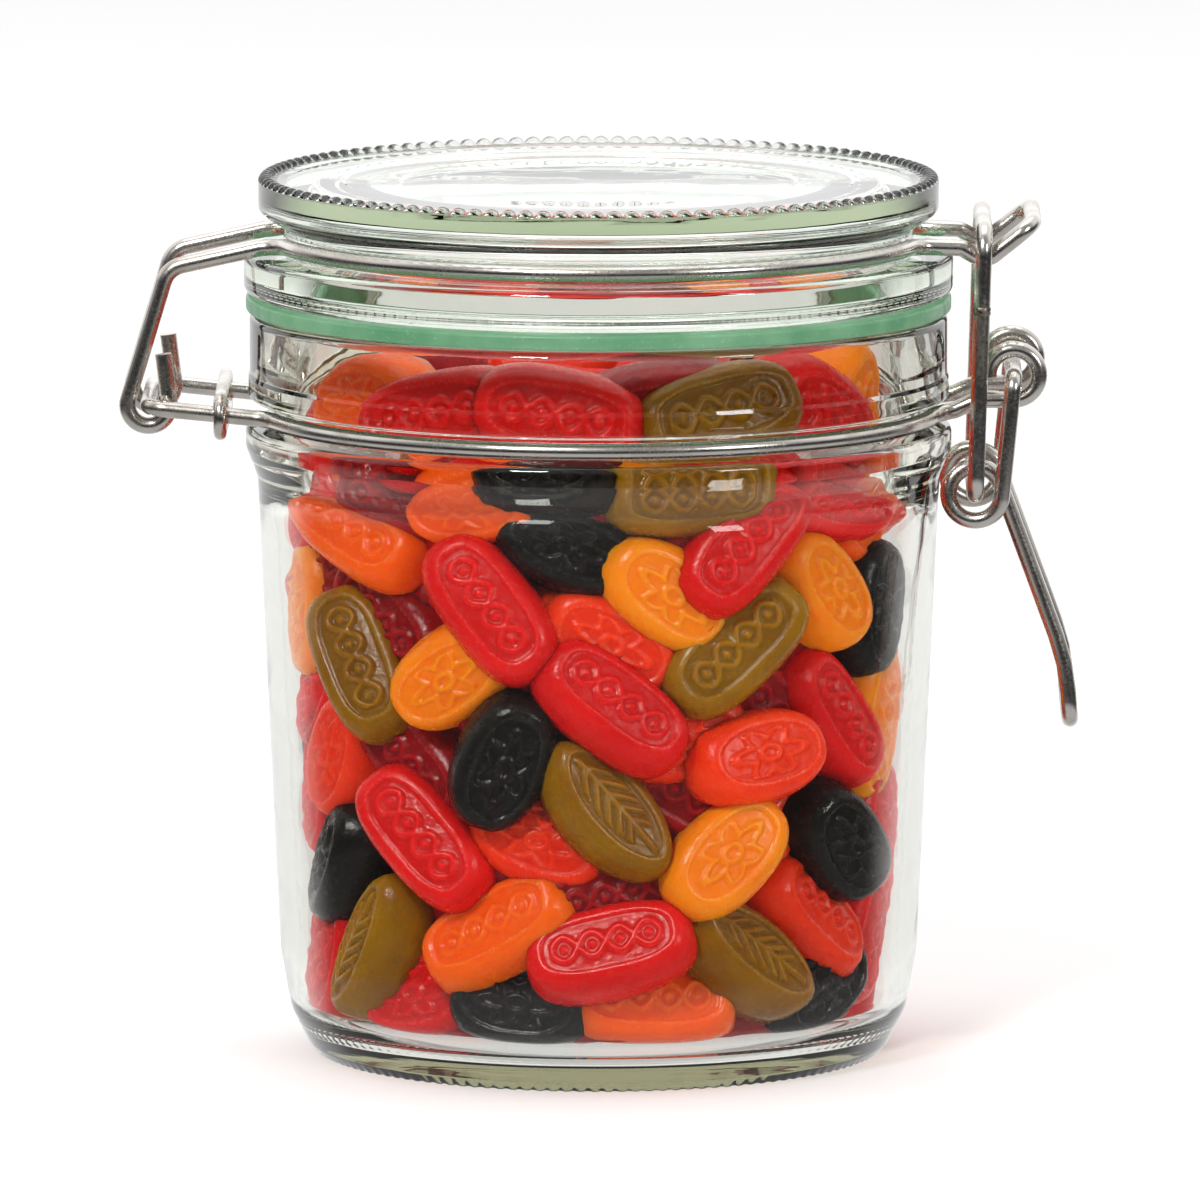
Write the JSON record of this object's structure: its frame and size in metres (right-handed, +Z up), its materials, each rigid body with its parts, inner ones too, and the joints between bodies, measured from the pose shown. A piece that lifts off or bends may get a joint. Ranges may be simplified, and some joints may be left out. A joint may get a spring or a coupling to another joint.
{
  "type": "jar of wine gums",
  "caption": "Shut clip-top glass jar filled with wine gums: round tapered body, hollow glass lid on a green gasket, wire hinge on one side and a wire lever latch on the other.",
  "frame": {"origin": "on the jar's axis, at the surface it stands on", "axes": "+Z up; +X towards the lever latch, the hinge at -X; the front faces -Y"},
  "size_m": [0.1367, 0.1014, 0.1263],
  "materials": {
    "jar_glass": "clear, polished, faintly grey-green at its edges",
    "lid_glass": "clear, polished, green at its thick edge",
    "gasket_rubber": "mint green, smooth satin",
    "steel_wire": "drawn stainless wire, bright",
    "wine_gum": "translucent, satin; red, orange, amber, olive and black pieces"
  },
  "bodies": {
    "root": {"jar": "jar_glass", "gasket": "gasket_rubber", "neck_wire": "steel_wire", "clip_ring": "steel_wire", "wine_gums": "wine_gum"},
    "lid": {"lid": "lid_glass", "lid_wire": "steel_wire"},
    "lever": {"latch_lever": "steel_wire"},
    "link": {"latch_link": "steel_wire"}
  },
  "joints": [
    {"name": "lid_hinge", "type": "hinge", "parent": "root", "child": "lid", "pos_m": [-0.064, 0, 0.0943], "axis": [0, -1, 0], "range_deg": [0, 110]},
    {"name": "lever_turn", "type": "hinge", "parent": "root", "child": "lever", "pos_m": [0.0592, 0, 0.0985], "axis": [0, -1, 0], "range_deg": [0, 88]},
    {"name": "link_turn", "type": "hinge", "parent": "lever", "child": "link", "pos_m": [0.0537, 0, 0.0816], "axis": [0, -1, 0], "range_deg": [-48, 0]}
  ],
  "couplings": [
    {"joint": "link_turn", "follows": "lever_turn", "ratio": -0.53}
  ]
}
